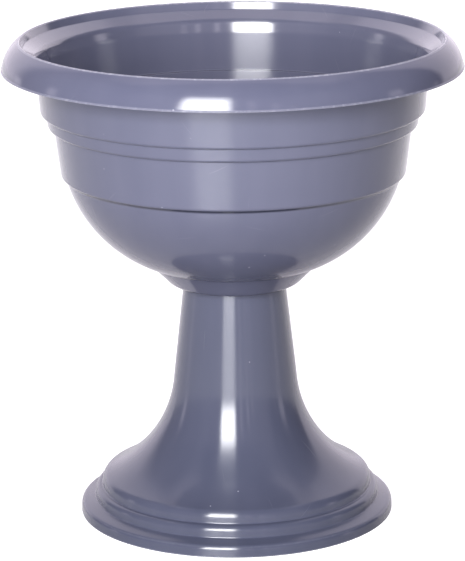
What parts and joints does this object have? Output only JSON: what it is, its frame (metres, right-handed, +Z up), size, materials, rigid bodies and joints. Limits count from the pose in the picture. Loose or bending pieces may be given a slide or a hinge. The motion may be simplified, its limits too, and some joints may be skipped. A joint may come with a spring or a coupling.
{
  "type": "garden vase",
  "caption": "Wide garden bowl with a curled lip, stepped bands and a foot collar, seated on a hollow flared pedestal with a stepped round foot.",
  "frame": {"origin": "on the ground, under the middle of the foot", "axes": "+Z up along the vase's own axis; +X and +Y level, the vase is round so they may point anywhere"},
  "size_m": [0.4, 0.4, 0.425],
  "materials": {
    "vase_plastic": "glossy injection-moulded blue-grey plastic, fine handling scratches"
  },
  "bodies": {
    "pedestal": {"pedestal": "vase_plastic"},
    "bowl": {"bowl": "vase_plastic"}
  },
  "joints": [
    {"name": "bowl_lift", "type": "slide", "parent": "pedestal", "child": "bowl", "axis": [0, 0, 1], "range_m": [0, 0.03]}
  ]
}
